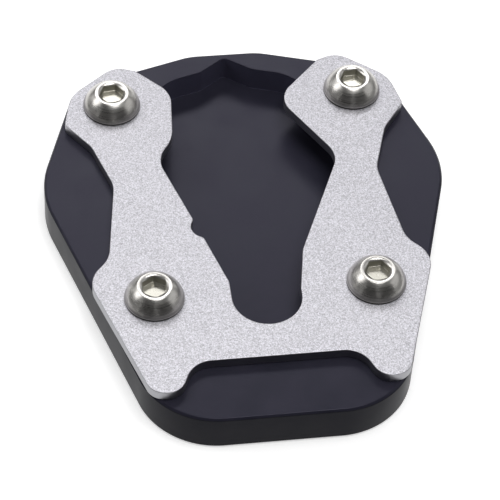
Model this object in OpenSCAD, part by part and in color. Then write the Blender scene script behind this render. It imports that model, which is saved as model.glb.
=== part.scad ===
// Side-stand foot enlarger: a wide base pad with a pocket for the stand's own foot, a clamp plate
// with a slot for the stand's leg, and four button-head screws that hold the plate on the pad.
// The origin is the middle of the pad's underside. Y runs from front to back and Z points up.

/* [Base pad] */
// Length of the pad from its front edge to its back edge
base_l = 83.7; // [80:0.1:90]
// Thickness of the pad
base_t = 7.5; // [6.8:0.1:10]
// Width of the front edge between its corners, before they are rounded
front_w = 40.4; // [36:0.1:44]
// Radius of the two front corners
front_r = 14; // [6:0.5:18]
// Greatest width between the side corners, before they are rounded
wide_w = 73.5; // [71:0.1:82]
// Distance from the front edge back to the side corners
wide_at = 53.1; // [48:0.1:58]
// Radius of the two side corners
wide_r = 19; // [8:0.5:24]
// Width between the shoulder corners, before they are rounded
shoulder_w = 56.6; // [54:0.1:64]
// Distance from the back edge forward to the shoulder corners
shoulder_at = 6.3; // [4:0.1:8]
// Radius of the two shoulder corners
shoulder_r = 10; // [4:0.5:11]
// Width of the flat back edge between its corners, before they are rounded
back_w = 12.8; // [6:0.1:20]
// Radius of the two back corners
back_r = 12; // [4:0.5:16]
// Chamfer round the top edge
top_chamfer = 0.4; // [0.2:0.05:1]
// Chamfer round the bottom edge
foot_chamfer = 0.3; // [0.2:0.05:1]

/* [Foot pocket] */
// Depth of the pocket below the top face
pocket_d = 5; // [3:0.1:5.5]
// Wall between the pocket and the slanted back edges
pocket_wall = 4.8; // [3:0.1:7]
// Width between the two back corners of the pocket, before they are rounded
pocket_back_w = 27.2; // [22:0.1:28]
// Radius of the two back corners of the pocket
pocket_back_r = 9; // [3:0.5:9]
// Width between the two side corners of the pocket, before they are rounded
pocket_w = 36.8; // [30:0.1:38]
// Distance from the back screws forward to the side corners of the pocket
pocket_w_at = 13.5; // [8:0.1:18]
// Radius of the two side corners of the pocket
pocket_side_r = 8; // [3:0.5:12]
// Width between the two front corners of the pocket, before they are rounded
pocket_front_w = 16.4; // [14:0.1:20]
// Distance from the front screws forward to the front wall of the pocket
pocket_front_at = 9.2; // [8.5:0.1:13]
// Radius of the two front corners of the pocket
pocket_front_r = 7.5; // [3:0.5:8]
// Width of the pointed relief in the back wall, at its foot
relief_w = 9.4; // [6:0.1:12]
// Wall between the point of the relief and the flat back edge
relief_wall = 1.2; // [1:0.1:3]
// Radius of the point of the relief
relief_tip_r = 1; // [0.5:0.1:2]
// Radius where the relief runs into the back wall
relief_foot_r = 3; // [1:0.1:5]

/* [Screws] */
// Distance from the front edge of the pad back to the front screws
front_row_at = 25.05; // [24:0.05:27]
// Distance from the front screws back to the back screws
row_gap = 45.35; // [44:0.05:47]
// Distance between the two front screws
front_span = 38.3; // [36:0.1:42]
// Distance between the two back screws
back_span = 44.2; // [42:0.1:46]
// Diameter of the screw thread
screw_d = 6; // [5:0.5:6.5]
// Length of the screw below its head
screw_l = 8; // [6:0.5:9]
// Chamfer at the end of the screw
screw_chamfer = 0.6; // [0.2:0.1:1]
// Diameter of the button head
head_d = 10.3; // [9.5:0.1:12]
// Height of the button head
head_h = 3.3; // [2.8:0.1:4]
// Diameter of the flat ring on top of the head
head_flat_d = 6; // [5.4:0.1:7]
// Height of the straight rim of the head
head_rim_h = 0.4; // [0.2:0.1:0.8]
// Width of the hex socket across its flats
hex_af = 4; // [3:0.5:4.5]
// Depth of the hex socket
hex_d = 1.6; // [1.2:0.1:2.7]
// Diameter of the countersink at the mouth of the hex socket
hex_mouth_d = 5; // [4.7:0.1:5.3]
// Slope of that countersink in degrees
hex_mouth_slope = 30; // [20:5:45]
// Turn of the front left socket in degrees
front_left_turn = 30; // [0:1:59]
// Turn of the front right socket in degrees
front_right_turn = 4; // [0:1:59]
// Turn of the back right socket in degrees
back_right_turn = 5; // [0:1:59]
// Turn of the back left socket in degrees
back_left_turn = 7; // [0:1:59]
// Room between the thread and the tapped hole, on the diameter
thread_gap = 0.1; // [0.05:0.05:0.3]
// Room between the thread and the hole in the plate, on the diameter
hole_gap = 0.6; // [0.3:0.1:1]
// Width of the countersink round the underside mouth of each tapped hole
tap_chamfer = 0.4; // [0.2:0.1:0.8]

/* [Clamp plate, legs and hips] */
// Thickness of the plate
plate_t = 2; // [1.5:0.1:3]
// Width of the notch between the front legs
notch_w = 28.2; // [25:0.1:30]
// Distance from the front screws forward to the floor of the notch
notch_at = 14.1; // [12.5:0.1:15.5]
// Radius of the two corners in the notch
notch_r = 4.6; // [2:0.1:6]
// Distance from the front screws forward to the inner corner of a leg's tip
leg_reach = 20.3; // [18.5:0.1:21]
// Distance by which the outer corner of the tip lies further back
leg_slant = 0.6; // [0:0.1:2]
// Distance by which the inner edge of a leg leans outwards
leg_lean = 2.8; // [1:0.1:3.5]
// Distance from the outer corner of the tip to the pad's side edge
leg_inset = 0.2; // [0:0.1:1.5]
// Radius of the two corners of a leg's tip
leg_r = 3.3; // [1:0.1:4]
// Distance from the front screws back to the hip corner
hip_at = 5.05; // [3:0.05:6]
// Overhang of the sharp hip corner past the pad's side edge, which its round takes back
hip_over = 0.45; // [0:0.05:0.6]
// Radius of the hip corner
hip_r = 5; // [3:0.1:8]

/* [Clamp plate, waist and ears] */
// Width across the front end of the waist
waist_front_w = 52; // [50:0.1:56]
// Distance from the front screws back to the front end of the waist
waist_front_at = 9.45; // [8.5:0.05:12]
// Radius at the front end of the waist
waist_front_r = 5.8; // [3:0.1:8]
// Width across the back end of the waist
waist_back_w = 47.2; // [45:0.1:51]
// Distance from the back screws forward to the back end of the waist
waist_back_at = 19.3; // [17:0.1:22]
// Radius at the back end of the waist
waist_back_r = 6.2; // [3:0.1:8]
// Width across the roots of the ears
root_w = 53.4; // [51:0.1:56]
// Distance from the back screws forward to the roots of the ears
root_at = 9.75; // [8:0.05:12]
// Radius at the roots of the ears
root_r = 4.6; // [2:0.1:6]
// Distance from the back screws forward to the side corner of an ear
ear_side_at = 3.95; // [2:0.05:5]
// Distance from the side corner of an ear to the pad's side edge
ear_side_inset = 1.1; // [0.5:0.1:2]
// Radius of the side corner of an ear
ear_side_r = 1.5; // [0.5:0.1:3]
// Distance from the back screws back to the shoulder of an ear
ear_shoulder_at = 3.05; // [2:0.05:4]
// Distance from the sharp shoulder of an ear to the pad's side edge
ear_shoulder_inset = 0.3; // [0:0.1:2]
// Radius of the shoulder of an ear
ear_shoulder_r = 7; // [4:0.1:8]
// Distance from the middle of the plate to the back corner of an ear
ear_back_x = 20.8; // [19.5:0.1:22]
// Overhang of the sharp back corner past the pad's slanted edge, which its round takes back
ear_back_over = 0.5; // [0:0.1:0.6]
// Radius of the back corner of an ear
ear_back_r = 4.2; // [3:0.1:6]
// Distance from the middle of the plate to the inner corner at the back of an ear
ear_inner_x = 17; // [16:0.1:18.5]
// Distance from that inner corner to the pad's slanted edge
ear_inner_inset = 1.95; // [1.5:0.05:3]
// Radius of that inner corner
ear_inner_r = 0.5; // [0.3:0.1:1]

/* [Clamp plate, opening for the stand] */
// Width of the slot for the stand's leg
slot_w = 12; // [10:0.1:13]
// Width of the web between the round end of the slot and the notch
web_w = 6.8; // [5:0.1:8]
// Distance from the front screws forward to where the right wall of the slot starts to flare
right_flare_at = 0.2; // [-1:0.1:1]
// Distance from the middle of the plate to the right lip of the slot
right_lip_x = 7.6; // [6.8:0.1:9]
// Distance from the front screws back to the right lip
right_lip_at = 8.4; // [6:0.1:10]
// Radius of the right lip
right_lip_r = 2.3; // [1:0.1:4]
// Distance from the middle of the plate to the bottom of the right bay
right_bay_x = 17.1; // [15:0.1:18]
// Distance from the back screws forward to the bottom of the right bay
right_bay_at = 15.6; // [14:0.1:18]
// Radius of the right bay
right_bay_r = 5.1; // [2:0.1:7]
// Distance from the middle of the plate to the inner tip of the right ear
right_tip_x = 8.2; // [7:0.1:10]
// Distance from the back screws forward to the inner tip of the right ear
right_tip_at = 0.75; // [-1:0.05:2]
// Radius of the inner tip of the right ear
right_tip_r = 4.8; // [2:0.1:6]
// Distance from the front screws back to where the left wall of the slot starts to flare
left_flare_at = 2.4; // [1:0.1:4]
// Radius where the left wall starts to flare
left_flare_r = 1.9; // [1:0.1:3]
// Distance from the middle of the plate to the left lip of the slot
left_lip_x = 9.2; // [8.2:0.1:10]
// Distance from the front screws back to the left lip
left_lip_at = 12.7; // [11:0.1:14]
// Radius of the left lip
left_lip_r = 0.9; // [0.5:0.1:1.5]
// Length of the scoop behind the left lip
scoop_l = 4.15; // [3.5:0.05:5]
// Depth of the scoop
scoop_d = 2.1; // [1.5:0.1:2.6]
// Depth of the scoop at its front corner
scoop_front_d = 1.4; // [1:0.1:1.5]
// Distance from the left lip back to the front corner of the scoop
scoop_front_at = 0.65; // [0.65:0.05:0.8]
// Distance from the left lip back to the bottom of the scoop
scoop_bottom_at = 2.6; // [2.2:0.1:3]
// Radius in the scoop
scoop_r = 2.4; // [1.5:0.1:3]
// Distance from the left lip outwards to the back mouth of the scoop
scoop_mouth = 1.3; // [0.8:0.1:1.6]
// Radius of the back mouth of the scoop
scoop_mouth_r = 1.1; // [0.5:0.1:1.5]
// Distance from the middle of the plate to the bottom of the left bay
left_bay_x = 15.3; // [14:0.1:17]
// Distance from the back screws forward to the bottom of the left bay
left_bay_at = 13.6; // [12:0.1:16]
// Radius of the left bay
left_bay_r = 5.5; // [2:0.1:7]
// Distance from the middle of the plate to the front corner of the left ear's inner edge
left_ear_x = 12; // [11:0.1:13.5]
// Distance from the back screws forward to that corner
left_ear_at = 9.4; // [8:0.1:11]
// Radius of that corner
left_ear_r = 8.4; // [4:0.1:9]
// Distance from the middle of the plate to the inner tip of the left ear
left_tip_x = 11; // [10:0.1:13]
// Distance from the back screws back to the inner tip of the left ear
left_tip_at = 2.3; // [1:0.1:3]
// Radius of the inner tip of the left ear
left_tip_r = 5.6; // [2:0.1:6]

/* [Hidden] */
$fn = 96;

// Overlap that lets a cut run cleanly past a face
past = 1;
// Facets in a full turn of the pad's chamfered rims
rim_fn = 72;
// Most of an edge's length that the rounds at its two ends may fill
round_room = 0.98;

front_y = -base_l / 2;
back_y = base_l / 2;
front_row = front_y + front_row_at;
back_row = front_row + row_gap;
plate_z = base_t;
head_z = base_t + plate_t;

// Place and turn of each screw: the sockets stop wherever the screw came tight
SCREWS = [
    [[-front_span / 2, front_row], front_left_turn],
    [[front_span / 2, front_row], front_right_turn],
    [[back_span / 2, back_row], back_right_turn],
    [[-back_span / 2, back_row], back_left_turn]
];

// An outline is a list of corners [x, y, radius] in counter-clockwise order
function xy(corner) = [corner[0], corner[1]];
function corner_at(outline, i) = outline[(i + len(outline)) % len(outline)];
function place(outline, i) = xy(corner_at(outline, i));
function unit(v) = v / norm(v);
function side_of(v) = [-v[1], v[0]];
function edge(outline, i) = place(outline, i + 1) - place(outline, i);

// Angle by which the outline turns at a corner, positive where the corner is convex
function turn_at(outline, i) =
    let (a = edge(outline, i - 1), b = edge(outline, i))
    atan2(a[0] * b[1] - a[1] * b[0], a * b);

// Length that a corner's round takes from each of its two edges, as asked for
function asked_reach(outline, i) =
    corner_at(outline, i)[2] * tan(abs(turn_at(outline, i)) / 2);

// Share of the room on an edge that its two rounds may have
function edge_share(outline, i) =
    let (sum = asked_reach(outline, i) + asked_reach(outline, i + 1))
    sum > norm(edge(outline, i)) ? norm(edge(outline, i)) / sum * round_room : 1;

function share(outline, i) = min(edge_share(outline, i - 1), edge_share(outline, i));
function round_r(outline, i) = corner_at(outline, i)[2] * share(outline, i);
function reach(outline, i) = asked_reach(outline, i) * share(outline, i);
function round_start(outline, i) =
    place(outline, i) - unit(edge(outline, i - 1)) * reach(outline, i);
function round_end(outline, i) =
    place(outline, i) + unit(edge(outline, i)) * reach(outline, i);
function round_centre(outline, i) =
    round_start(outline, i)
    + side_of(unit(edge(outline, i - 1))) * round_r(outline, i) * sign(turn_at(outline, i));

// The same corners on the left, in the order that closes the outline
function mirrored(half) =
    [for (i = [len(half) - 1:-1:0]) [-half[i][0], half[i][1], half[i][2]]];

// The circle segment between a corner's chord and its arc
module round_segment(outline, i) {
    intersection() {
        translate(round_centre(outline, i)) circle(r = round_r(outline, i));
        polygon([round_start(outline, i), place(outline, i), round_end(outline, i)]);
    }
}

// The outline with a true arc at each corner that has a radius
module rounded(outline) {
    last = len(outline) - 1;
    difference() {
        union() {
            polygon([
                for (i = [0:last])
                    each (outline[i][2] > 0
                        ? [round_start(outline, i), round_end(outline, i)]
                        : [place(outline, i)])
            ]);
            for (i = [0:last])
                if (outline[i][2] > 0 && turn_at(outline, i) > 0) round_segment(outline, i);
        }
        for (i = [0:last])
            if (outline[i][2] > 0 && turn_at(outline, i) < 0) round_segment(outline, i);
    }
}

// A block with the given convex outline and both of its rims chamfered
module chamfered_block(outline) {
    hull()
        for (i = [0:len(outline) - 1])
            translate(round_centre(outline, i)) chamfered_disc(round_r(outline, i));
}

module chamfered_disc(r) {
    rotate_extrude($fn = rim_fn)
        polygon([
            [0, 0],
            [r - foot_chamfer, 0],
            [r, foot_chamfer],
            [r, base_t - top_chamfer],
            [r - top_chamfer, base_t],
            [0, base_t]
        ]);
}

base_half = [
    [front_w / 2, front_y, front_r],
    [wide_w / 2, front_y + wide_at, wide_r],
    [shoulder_w / 2, back_y - shoulder_at, shoulder_r],
    [back_w / 2, back_y, back_r]
];

// The pad's straight edges, carried on as far as a neighbour needs them
function x_on(a, b, y) = a[0] + (b[0] - a[0]) * (y - a[1]) / (b[1] - a[1]);
function front_side_x(y) = x_on(base_half[0], base_half[1], y);
function back_side_x(y) = x_on(base_half[1], base_half[2], y);
slant = (base_half[3] - base_half[2])[1] / (base_half[3] - base_half[2])[0];
function slant_y(x) = base_half[2][1] + slant * (x - base_half[2][0]);
function pocket_slant_y(x) = slant_y(x) - pocket_wall * norm([1, slant]);

pocket_half = [
    [pocket_front_w / 2, front_row - pocket_front_at, pocket_front_r],
    [pocket_w / 2, back_row - pocket_w_at, pocket_side_r],
    [pocket_back_w / 2, pocket_slant_y(pocket_back_w / 2), pocket_back_r],
    [relief_w / 2, pocket_slant_y(relief_w / 2), relief_foot_r]
];
relief_tip = [0, back_y - relief_wall, relief_tip_r];
pocket_outline = concat(pocket_half, [relief_tip], mirrored(pocket_half));

notch_y = front_row - notch_at;
leg_tip_y = front_row - leg_reach;
hip_y = front_row + hip_at;
ear_side_y = back_row - ear_side_at;
ear_shoulder_y = back_row + ear_shoulder_at;
plate_right = [
    [notch_w / 2, notch_y, notch_r],
    [notch_w / 2 + leg_lean, leg_tip_y, leg_r],
    [front_side_x(leg_tip_y + leg_slant) - leg_inset, leg_tip_y + leg_slant, leg_r],
    [front_side_x(hip_y) + hip_over, hip_y, hip_r],
    [waist_front_w / 2, front_row + waist_front_at, waist_front_r],
    [waist_back_w / 2, back_row - waist_back_at, waist_back_r],
    [root_w / 2, back_row - root_at, root_r],
    [back_side_x(ear_side_y) - ear_side_inset, ear_side_y, ear_side_r],
    [back_side_x(ear_shoulder_y) - ear_shoulder_inset, ear_shoulder_y, ear_shoulder_r],
    [ear_back_x, slant_y(ear_back_x) + ear_back_over, ear_back_r],
    [ear_inner_x, slant_y(ear_inner_x) - ear_inner_inset, ear_inner_r]
];

slot_y = notch_y + web_w + slot_w / 2;
left_lip_y = front_row + left_lip_at;
stand_opening = [
    [right_tip_x, back_row - right_tip_at, right_tip_r],
    [right_bay_x, back_row - right_bay_at, right_bay_r],
    [right_lip_x, front_row + right_lip_at, right_lip_r],
    [slot_w / 2, front_row - right_flare_at, 0],
    [slot_w / 2, slot_y, 0],
    [-slot_w / 2, slot_y, 0],
    [-slot_w / 2, front_row + left_flare_at, left_flare_r],
    [-left_lip_x, left_lip_y, left_lip_r],
    [-left_lip_x - scoop_front_d, left_lip_y + scoop_front_at, scoop_r],
    [-left_lip_x - scoop_d, left_lip_y + scoop_bottom_at, scoop_r],
    [-left_lip_x - scoop_mouth, left_lip_y + scoop_l, scoop_mouth_r],
    [-left_bay_x, back_row - left_bay_at, left_bay_r],
    [-left_ear_x, back_row - left_ear_at, left_ear_r],
    [-left_tip_x, back_row + left_tip_at, left_tip_r]
];
plate_outline = concat(plate_right, stand_opening, mirrored(plate_right));

// The pad: a chamfered block with the pocket sunk in its top and four tapped holes
module base_pad() {
    color("#3f3f4a")
        difference() {
            chamfered_block(concat(base_half, mirrored(base_half)));
            translate([0, 0, base_t - pocket_d])
                linear_extrude(height = pocket_d + past) rounded(pocket_outline);
            for (s = SCREWS) translate(s[0]) tapped_hole();
        }
}

module tapped_hole() {
    d = screw_d + thread_gap;
    translate([0, 0, -past]) cylinder(d = d, h = base_t + 2 * past);
    cylinder(d1 = d + 2 * tap_chamfer, d2 = d, h = tap_chamfer);
}

// The plate: cut from flat sheet, with a clearance hole for each screw
module clamp_plate() {
    color("#cbc9d0")
        translate([0, 0, plate_z])
            difference() {
                linear_extrude(height = plate_t)
                    difference() {
                        rounded(plate_outline);
                        translate([0, slot_y]) circle(d = slot_w);
                    }
                for (s = SCREWS)
                    translate([s[0][0], s[0][1], -past])
                        cylinder(d = screw_d + hole_gap, h = plate_t + 2 * past);
            }
}

// One button-head screw with the underside of its head at z = 0
module screw() {
    // The dome's sphere passes through the top of the rim and the edge of the flat ring
    rim = [head_d / 2, head_rim_h];
    ring = [head_flat_d / 2, head_h];
    dome_z = (ring * ring - rim * rim) / (2 * (ring[1] - rim[1]));
    dome_r = norm(rim - [0, dome_z]);
    difference() {
        union() {
            intersection() {
                translate([0, 0, dome_z]) sphere(r = dome_r);
                cylinder(d = head_d, h = head_h);
            }
            translate([0, 0, -screw_l + screw_chamfer])
                cylinder(d = screw_d, h = screw_l - screw_chamfer + past);
            translate([0, 0, -screw_l])
                cylinder(d1 = screw_d - 2 * screw_chamfer, d2 = screw_d, h = screw_chamfer);
        }
        translate([0, 0, head_h]) hex_socket();
    }
}

// The socket, with its mouth at z = 0: a countersunk hexagon with a flat floor
module hex_socket() {
    mouth_drop = (hex_mouth_d - hex_af) / 2 * tan(hex_mouth_slope);
    translate([0, 0, -hex_d]) cylinder(d = hex_af / cos(30), h = hex_d + past, $fn = 6);
    translate([0, 0, -mouth_drop]) cylinder(d1 = hex_af, d2 = hex_mouth_d, h = mouth_drop);
}

module clamp_screws() {
    color("#b5b2ab")
        for (s = SCREWS)
            translate([s[0][0], s[0][1], head_z]) rotate(s[1]) screw();
}

base_pad();
clamp_plate();
clamp_screws();
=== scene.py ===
"""A motorcycle side-stand foot enlarger, dressed for a studio picture.

The part is a black base pad with a pocket for the stand's own foot, a silver clamp plate with a slot
for the stand's leg, and four button-head screws. Sizes are in millimetres, as on a drawing, and
become metres when a mesh is made. The studio round it is in metres. Y runs from front to back and Z
points up.
"""
from __future__ import annotations

import logging
import math
from dataclasses import dataclass, field
from enum import Enum, IntEnum

import bmesh
import bpy
import numpy as np
from mathutils import Matrix, Vector
from mathutils.geometry import tessellate_polygon

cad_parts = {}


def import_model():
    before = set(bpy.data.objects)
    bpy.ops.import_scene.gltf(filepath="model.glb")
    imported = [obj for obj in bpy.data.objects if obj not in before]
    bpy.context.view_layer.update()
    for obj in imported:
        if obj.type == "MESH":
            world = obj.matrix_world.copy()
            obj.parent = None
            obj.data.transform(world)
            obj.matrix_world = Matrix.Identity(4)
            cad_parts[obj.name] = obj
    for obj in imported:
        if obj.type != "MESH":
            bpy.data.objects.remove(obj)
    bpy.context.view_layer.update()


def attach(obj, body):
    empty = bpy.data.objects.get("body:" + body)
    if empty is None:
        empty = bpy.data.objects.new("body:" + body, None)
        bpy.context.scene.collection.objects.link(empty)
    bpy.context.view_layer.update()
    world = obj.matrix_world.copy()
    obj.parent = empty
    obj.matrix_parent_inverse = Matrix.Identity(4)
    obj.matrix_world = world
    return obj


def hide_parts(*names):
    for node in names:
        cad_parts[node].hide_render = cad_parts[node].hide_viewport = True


LOG = logging.getLogger("foot_enlarger")
MM = 0.001
BODY = "root"
CARD_AT = 0.0005


class Slot(Enum):
    """The record's material slots."""

    BLACK = "black_anodised"
    SILVER = "silver_blasted"
    STEEL = "stainless_screw"


class Side(Enum):
    """Which side of a closed path the metal lies on."""

    INSIDE = 1
    OUTSIDE = -1


class PadFinishAndPaintedLight(IntEnum):
    """The pad's finish and its two copies that paint light, in the order in which BasePad.dress adds them.
    """

    FACE = 0
    # Painted shade: a darker copy of the black finish on the side walls.
    SIDE = 1
    # Painted light: a paler copy of the black finish on the pocket's walls.
    POCKET = 2


@dataclass(frozen=True)
class Corner:
    """A corner of an outline, before it is rounded.

    Args:
        x: Distance to the right of the middle.
        y: Distance back from the middle.
        r: Radius of its round, or 0 for a sharp corner.
    """

    x: float
    y: float
    r: float

    @property
    def place(self) -> np.ndarray:
        """The corner's place as an array."""
        return np.array([self.x, self.y])

    def mirrored(self) -> "Corner":
        """The same corner on the other side."""
        return Corner(-self.x, self.y, self.r)


def both_sides(right: list[Corner], between: list[Corner] | None = None) -> list[Corner]:
    """The right half from front to back, the corners between the halves, and the left half."""
    return right + (between or []) + [corner.mirrored() for corner in reversed(right)]


def unit(vector: np.ndarray) -> np.ndarray:
    """The vector at length one."""
    return vector / np.linalg.norm(vector)


@dataclass
class Path:
    """A closed path in the plane, run counter-clockwise.

    Args:
        points: Its points, one row each.
        outward: For each point, the step that moves both of its edges outwards by one.
    """

    points: np.ndarray
    outward: np.ndarray

    @staticmethod
    def rounded(corners: list[Corner], chord: float = 0.25, stretch: float = 2.0) -> "Path":
        """Follow an outline whose corners are true arcs.

        An arc's points are its centre plus the radius times (cos a, sin a), with a running evenly
        between the two tangent points, which lie r tan(turn / 2) from the sharp corner.

        Args:
            corners: The outline's corners.
            chord: Longest step along an arc.
            stretch: Longest step along a straight edge.

        Returns:
            The path.
        """
        places = np.array([corner.place for corner in corners])
        ahead = np.roll(places, -1, axis=0) - places
        lengths = np.linalg.norm(ahead, axis=1)
        ahead = ahead / lengths[:, None]
        behind = np.roll(ahead, 1, axis=0)
        turn = np.arctan2(
            behind[:, 0] * ahead[:, 1] - behind[:, 1] * ahead[:, 0],
            (behind * ahead).sum(axis=1),
        )
        radii = np.array([corner.r for corner in corners])
        reach = radii * np.tan(np.abs(turn) / 2)
        pieces: list[np.ndarray] = []
        steps: list[np.ndarray] = []
        for i, corner in enumerate(corners):
            bend = math.copysign(1.0, turn[i])
            if corner.r > 0:
                start = places[i] - behind[i] * reach[i]
                inward = np.array([-behind[i][1], behind[i][0]]) * bend
                centre = start + inward * corner.r
                count = max(3, math.ceil(abs(turn[i]) * corner.r / chord) + 1)
                first = math.atan2(-inward[1], -inward[0])
                angle = first + np.linspace(0.0, turn[i], count)
                ray = np.stack([np.cos(angle), np.sin(angle)], axis=1)
                pieces.append(centre + corner.r * ray)
                steps.append(ray * bend)
            else:
                mean = unit(np.array([behind[i][1] + ahead[i][1], -behind[i][0] - ahead[i][0]]))
                pieces.append(places[i][None, :])
                steps.append(mean[None, :] / math.cos(turn[i] / 2))
            following = (i + 1) % len(corners)
            room = lengths[i] - reach[i] - reach[following]
            inner = max(0, math.ceil(room / stretch) - 1)
            if inner:
                share = (np.arange(1, inner + 1) / (inner + 1))[:, None]
                begin = places[i] + ahead[i] * reach[i]
                pieces.append(begin + ahead[i] * room * share)
                normal = np.array([ahead[i][1], -ahead[i][0]])
                steps.append(np.repeat(normal[None, :], inner, axis=0))
        return Path(np.concatenate(pieces), np.concatenate(steps))

    @staticmethod
    def circle(x: float, y: float, radius: float, count: int = 96) -> "Path":
        """Follow a circle: the centre plus the radius times (cos a, sin a).

        Args:
            x: The centre's distance to the right of the middle.
            y: The centre's distance back from the middle.
            radius: The radius.
            count: How many points it has.

        Returns:
            The path.
        """
        angle = np.linspace(0.0, 2 * np.pi, count, endpoint=False)
        ray = np.stack([np.cos(angle), np.sin(angle)], axis=1)
        return Path(np.array([x, y]) + radius * ray, ray)


def new_object(name: str, data: bpy.types.ID) -> bpy.types.Object:
    """Make an object and add it to the scene.

    Args:
        name: Its name.
        data: Its mesh, lamp or lens.

    Returns:
        The new object at the origin.
    """
    item = bpy.data.objects.new(name, data)
    bpy.context.scene.collection.objects.link(item)
    return item


def new_sheet(name: str, corners: list[tuple]) -> bpy.types.Object:
    """Make a flat sheet.

    Args:
        name: Its name.
        corners: Its four corners, in metres.

    Returns:
        The new object at the origin.
    """
    mesh = bpy.data.meshes.new(name)
    mesh.from_pydata(corners, [], [(0, 1, 2, 3)])
    return new_object(name, mesh)


def softened(profile: list[tuple[float, float]], reach: list[float], steps: int = 4) -> np.ndarray:
    """Round the inner corners of an open profile.

    Each corner P becomes the curve (1 - t)^2 A + 2 t (1 - t) P + t^2 B, where A and B lie on the
    neighbouring edges at the given reach.

    Args:
        profile: The profile's points.
        reach: One reach for each inner point.
        steps: How many spans each round has.

    Returns:
        The finer profile, one row for each point.
    """
    points = np.array(profile)
    t = np.linspace(0.0, 1.0, steps + 1)[:, None]
    rows = [points[:1]]
    for i in range(1, len(points) - 1):
        before = points[i] + unit(points[i - 1] - points[i]) * reach[i - 1]
        after = points[i] + unit(points[i + 1] - points[i]) * reach[i - 1]
        rows.append((1 - t) ** 2 * before + 2 * t * (1 - t) * points[i] + t ** 2 * after)
    rows.append(points[-1:])
    return np.concatenate(rows)


@dataclass
class Shell:
    """A closed mesh made of swept walls and flat faces.

    Args:
        name: Name of the piece.
    """

    name: str
    vertices: list[np.ndarray] = field(default_factory=list)
    quads: list[np.ndarray] = field(default_factory=list)
    triangles: list[np.ndarray] = field(default_factory=list)
    maps: list[np.ndarray] = field(default_factory=list)
    finishes: list[np.ndarray] = field(default_factory=list)
    total: int = 0

    def grid(self, surface: np.ndarray, unrolled: np.ndarray | None = None,
             finish: np.ndarray | None = None) -> np.ndarray:
        """Add a surface that closes on itself along its second axis.

        Args:
            surface: Points with the shape (rows, columns, 3).
            unrolled: Flat coordinates of each point, with the shape (rows, columns, 2).
            finish: Number of the finish of each band between two rows, or None for the first.

        Returns:
            The vertex numbers, with the shape (rows, columns).
        """
        rows, columns = surface.shape[:2]
        ids = self.total + np.arange(rows * columns).reshape(rows, columns)
        beside = np.roll(ids, -1, axis=1)
        self.quads.append(
            np.stack([ids[:-1], beside[:-1], beside[1:], ids[1:]], axis=-1).reshape(-1, 4)
        )
        bands = np.zeros(rows - 1, dtype=int) if finish is None else finish
        self.finishes.append(np.repeat(bands, columns))
        self.vertices.append(surface.reshape(-1, 3))
        flat = surface[..., :2] if unrolled is None else unrolled
        self.maps.append(flat.reshape(-1, 2))
        self.total += rows * columns
        return ids

    def wall(self, path: Path, profile: np.ndarray, side: Side,
             finish: np.ndarray | None = None) -> np.ndarray:
        """Carry a profile round a path.

        The point for profile (d, z) and path point p with outward step n is p - s d n at height z,
        where s is 1 when the metal is inside the path and -1 when it is outside.

        Args:
            path: The path.
            profile: Rows of distance into the metal and height.
            side: Which side of the path the metal is on.
            finish: Number of the finish of each band, or None for the first.

        Returns:
            The vertex numbers, one row for each point of the profile.
        """
        into = profile[:, 0][:, None, None]
        plan = path.points[None] - side.value * into * path.outward[None]
        height = np.broadcast_to(profile[:, 1][:, None, None], plan.shape[:2] + (1,))
        return self.grid(np.concatenate([plan, height], axis=2), finish=finish)

    def face(self, loops: list[np.ndarray]) -> None:
        """Fill the flat region between an outer loop and the holes in it.

        Args:
            loops: Vertex numbers of the outer loop first, then of each hole.
        """
        points = np.concatenate(self.vertices)
        rings = [[Vector(p) for p in points[loop]] for loop in loops]
        order = np.concatenate(loops)
        self.triangles.append(order[np.array(tessellate_polygon(rings))])

    def close(self, ring: np.ndarray, centre: np.ndarray, along: float) -> None:
        """Close a ring with a fan to its centre.

        Args:
            ring: Vertex numbers of the ring.
            centre: Place of the centre.
            along: The centre's second coordinate on the unrolled map.
        """
        self.vertices.append(centre.reshape(1, 3))
        self.maps.append(np.array([[0.0, along]]))
        middle = np.full(len(ring), self.total)
        self.total += 1
        self.triangles.append(np.stack([middle, ring, np.roll(ring, -1)], axis=1))

    def build(self) -> bpy.types.Object:
        """Make the object, with its faces outwards and its map filled in.

        Returns:
            The new object at the origin.
        """
        mesh = bpy.data.meshes.new(self.name)
        faces: list[list[int]] = []
        for block in self.quads + self.triangles:
            faces += block.tolist()
        mesh.from_pydata((np.concatenate(self.vertices) * MM).tolist(), [], faces)
        work = bmesh.new()
        work.from_mesh(mesh)
        bmesh.ops.recalc_face_normals(work, faces=work.faces)
        work.to_mesh(mesh)
        work.free()
        mesh.update()
        corners = np.empty(len(mesh.loops), dtype=np.int32)
        mesh.loops.foreach_get("vertex_index", corners)
        layer = mesh.uv_layers.new(name="unrolled")
        layer.data.foreach_set("uv", np.concatenate(self.maps)[corners].astype(np.float32).ravel())
        count = len(mesh.polygons)
        mesh.polygons.foreach_set("use_smooth", np.ones(count, dtype=bool))
        marks = np.concatenate(self.finishes)
        marks = np.concatenate([marks, np.zeros(count - len(marks), dtype=int)])
        mesh.polygons.foreach_set("material_index", marks.astype(np.int32))
        return new_object(self.name, mesh)


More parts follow.
